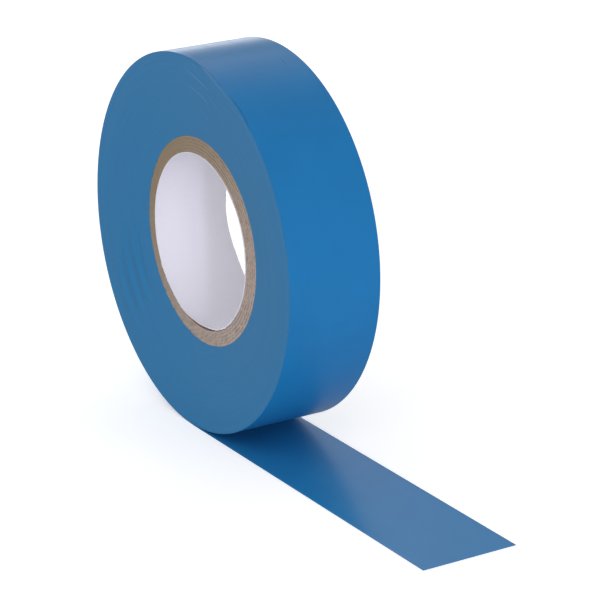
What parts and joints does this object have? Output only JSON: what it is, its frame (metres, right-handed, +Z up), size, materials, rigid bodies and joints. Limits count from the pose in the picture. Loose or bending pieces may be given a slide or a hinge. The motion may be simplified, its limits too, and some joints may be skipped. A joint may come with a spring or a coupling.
{
  "type": "electrical tape roll",
  "caption": "Roll of insulating tape on a paper-lined board core, standing on edge with its free end run out flat; the roll rolls as tape unwinds and the free end lifts.",
  "frame": {"origin": "under the middle of the whole object, on the surface that it stands on", "axes": "+Z up; the roll's axis lies along Y; the run-out tape points along +X from the bottom of the roll"},
  "size_m": [0.114, 0.019, 0.0719],
  "materials": {
    "film": "gloss",
    "adhesive": "gloss",
    "turn_edges": "satin",
    "board": "matte",
    "liner": "matte"
  },
  "bodies": {
    "laid_tape": {"laid_film": "film", "laid_adhesive": "adhesive"},
    "outer_turn": {"outer_turn_film": "film", "outer_turn_adhesive": "adhesive"},
    "roll": {"wound_tape": "turn_edges", "core_liner": "liner", "core_ply_1": "board", "core_ply_2": "board", "core_ply_3": "board", "core_ply_4": "board", "core_ply_5": "board"},
    "tail_1": {"tail_film_1": "film", "tail_adhesive_1": "adhesive"},
    "tail_2": {"tail_film_2": "film", "tail_adhesive_2": "adhesive"},
    "tail_3": {"tail_film_3": "film", "tail_adhesive_3": "adhesive"},
    "tail_4": {"tail_film_4": "film", "tail_adhesive_4": "adhesive"},
    "tail_5": {"tail_film_5": "film", "tail_adhesive_5": "adhesive"},
    "tail_6": {"tail_film_6": "film", "tail_adhesive_6": "adhesive"},
    "tail_7": {"tail_film_7": "film", "tail_adhesive_7": "adhesive"},
    "tail_8": {"tail_film_8": "film", "tail_adhesive_8": "adhesive"},
    "tail_9": {"tail_film_9": "film", "tail_adhesive_9": "adhesive"},
    "tail_10": {"tail_film_10": "film", "tail_adhesive_10": "adhesive"},
    "tail_11": {"tail_film_11": "film", "tail_adhesive_11": "adhesive"},
    "tail_12": {"tail_film_12": "film", "tail_adhesive_12": "adhesive"}
  },
  "joints": [
    {"name": "unroll_travel", "type": "slide", "parent": "laid_tape", "child": "outer_turn", "axis": [-1, 0, 0], "range_m": [0, 0.226], "deforming": ["laid_film", "laid_adhesive"]},
    {"name": "roll_spin", "type": "hinge", "parent": "outer_turn", "child": "roll", "pos_m": [-0.021, 0, 0.036], "axis": [0, -1, 0], "range_deg": [0, 360]},
    {"name": "tail_bend_1", "type": "hinge", "parent": "laid_tape", "child": "tail_1", "pos_m": [0.009, 0, 0.00006], "axis": [0, -1, 0], "range_deg": [0, 8]},
    {"name": "tail_bend_2", "type": "hinge", "parent": "tail_1", "child": "tail_2", "pos_m": [0.013, 0, 0.00006], "axis": [0, -1, 0], "range_deg": [0, 8]},
    {"name": "tail_bend_3", "type": "hinge", "parent": "tail_2", "child": "tail_3", "pos_m": [0.017, 0, 0.00006], "axis": [0, -1, 0], "range_deg": [0, 8]},
    {"name": "tail_bend_4", "type": "hinge", "parent": "tail_3", "child": "tail_4", "pos_m": [0.021, 0, 0.00006], "axis": [0, -1, 0], "range_deg": [0, 8]},
    {"name": "tail_bend_5", "type": "hinge", "parent": "tail_4", "child": "tail_5", "pos_m": [0.025, 0, 0.00006], "axis": [0, -1, 0], "range_deg": [0, 8]},
    {"name": "tail_bend_6", "type": "hinge", "parent": "tail_5", "child": "tail_6", "pos_m": [0.029, 0, 0.00006], "axis": [0, -1, 0], "range_deg": [0, 8]},
    {"name": "tail_bend_7", "type": "hinge", "parent": "tail_6", "child": "tail_7", "pos_m": [0.033, 0, 0.00006], "axis": [0, -1, 0], "range_deg": [0, 8]},
    {"name": "tail_bend_8", "type": "hinge", "parent": "tail_7", "child": "tail_8", "pos_m": [0.037, 0, 0.00006], "axis": [0, -1, 0], "range_deg": [0, 8]},
    {"name": "tail_bend_9", "type": "hinge", "parent": "tail_8", "child": "tail_9", "pos_m": [0.041, 0, 0.00006], "axis": [0, -1, 0], "range_deg": [0, 8]},
    {"name": "tail_bend_10", "type": "hinge", "parent": "tail_9", "child": "tail_10", "pos_m": [0.045, 0, 0.00006], "axis": [0, -1, 0], "range_deg": [0, 8]},
    {"name": "tail_bend_11", "type": "hinge", "parent": "tail_10", "child": "tail_11", "pos_m": [0.049, 0, 0.00006], "axis": [0, -1, 0], "range_deg": [0, 8]},
    {"name": "tail_bend_12", "type": "hinge", "parent": "tail_11", "child": "tail_12", "pos_m": [0.053, 0, 0.00006], "axis": [0, -1, 0], "range_deg": [0, 8]}
  ],
  "couplings": [
    {"joint": "roll_spin", "follows": "unroll_travel", "rad_per_m": 27.778},
    {"joint": "tail_bend_2", "follows": "tail_bend_1", "ratio": 1},
    {"joint": "tail_bend_3", "follows": "tail_bend_1", "ratio": 1},
    {"joint": "tail_bend_4", "follows": "tail_bend_1", "ratio": 1},
    {"joint": "tail_bend_5", "follows": "tail_bend_1", "ratio": 1},
    {"joint": "tail_bend_6", "follows": "tail_bend_1", "ratio": 1},
    {"joint": "tail_bend_7", "follows": "tail_bend_1", "ratio": 1},
    {"joint": "tail_bend_8", "follows": "tail_bend_1", "ratio": 1},
    {"joint": "tail_bend_9", "follows": "tail_bend_1", "ratio": 1},
    {"joint": "tail_bend_10", "follows": "tail_bend_1", "ratio": 1},
    {"joint": "tail_bend_11", "follows": "tail_bend_1", "ratio": 1},
    {"joint": "tail_bend_12", "follows": "tail_bend_1", "ratio": 1}
  ]
}
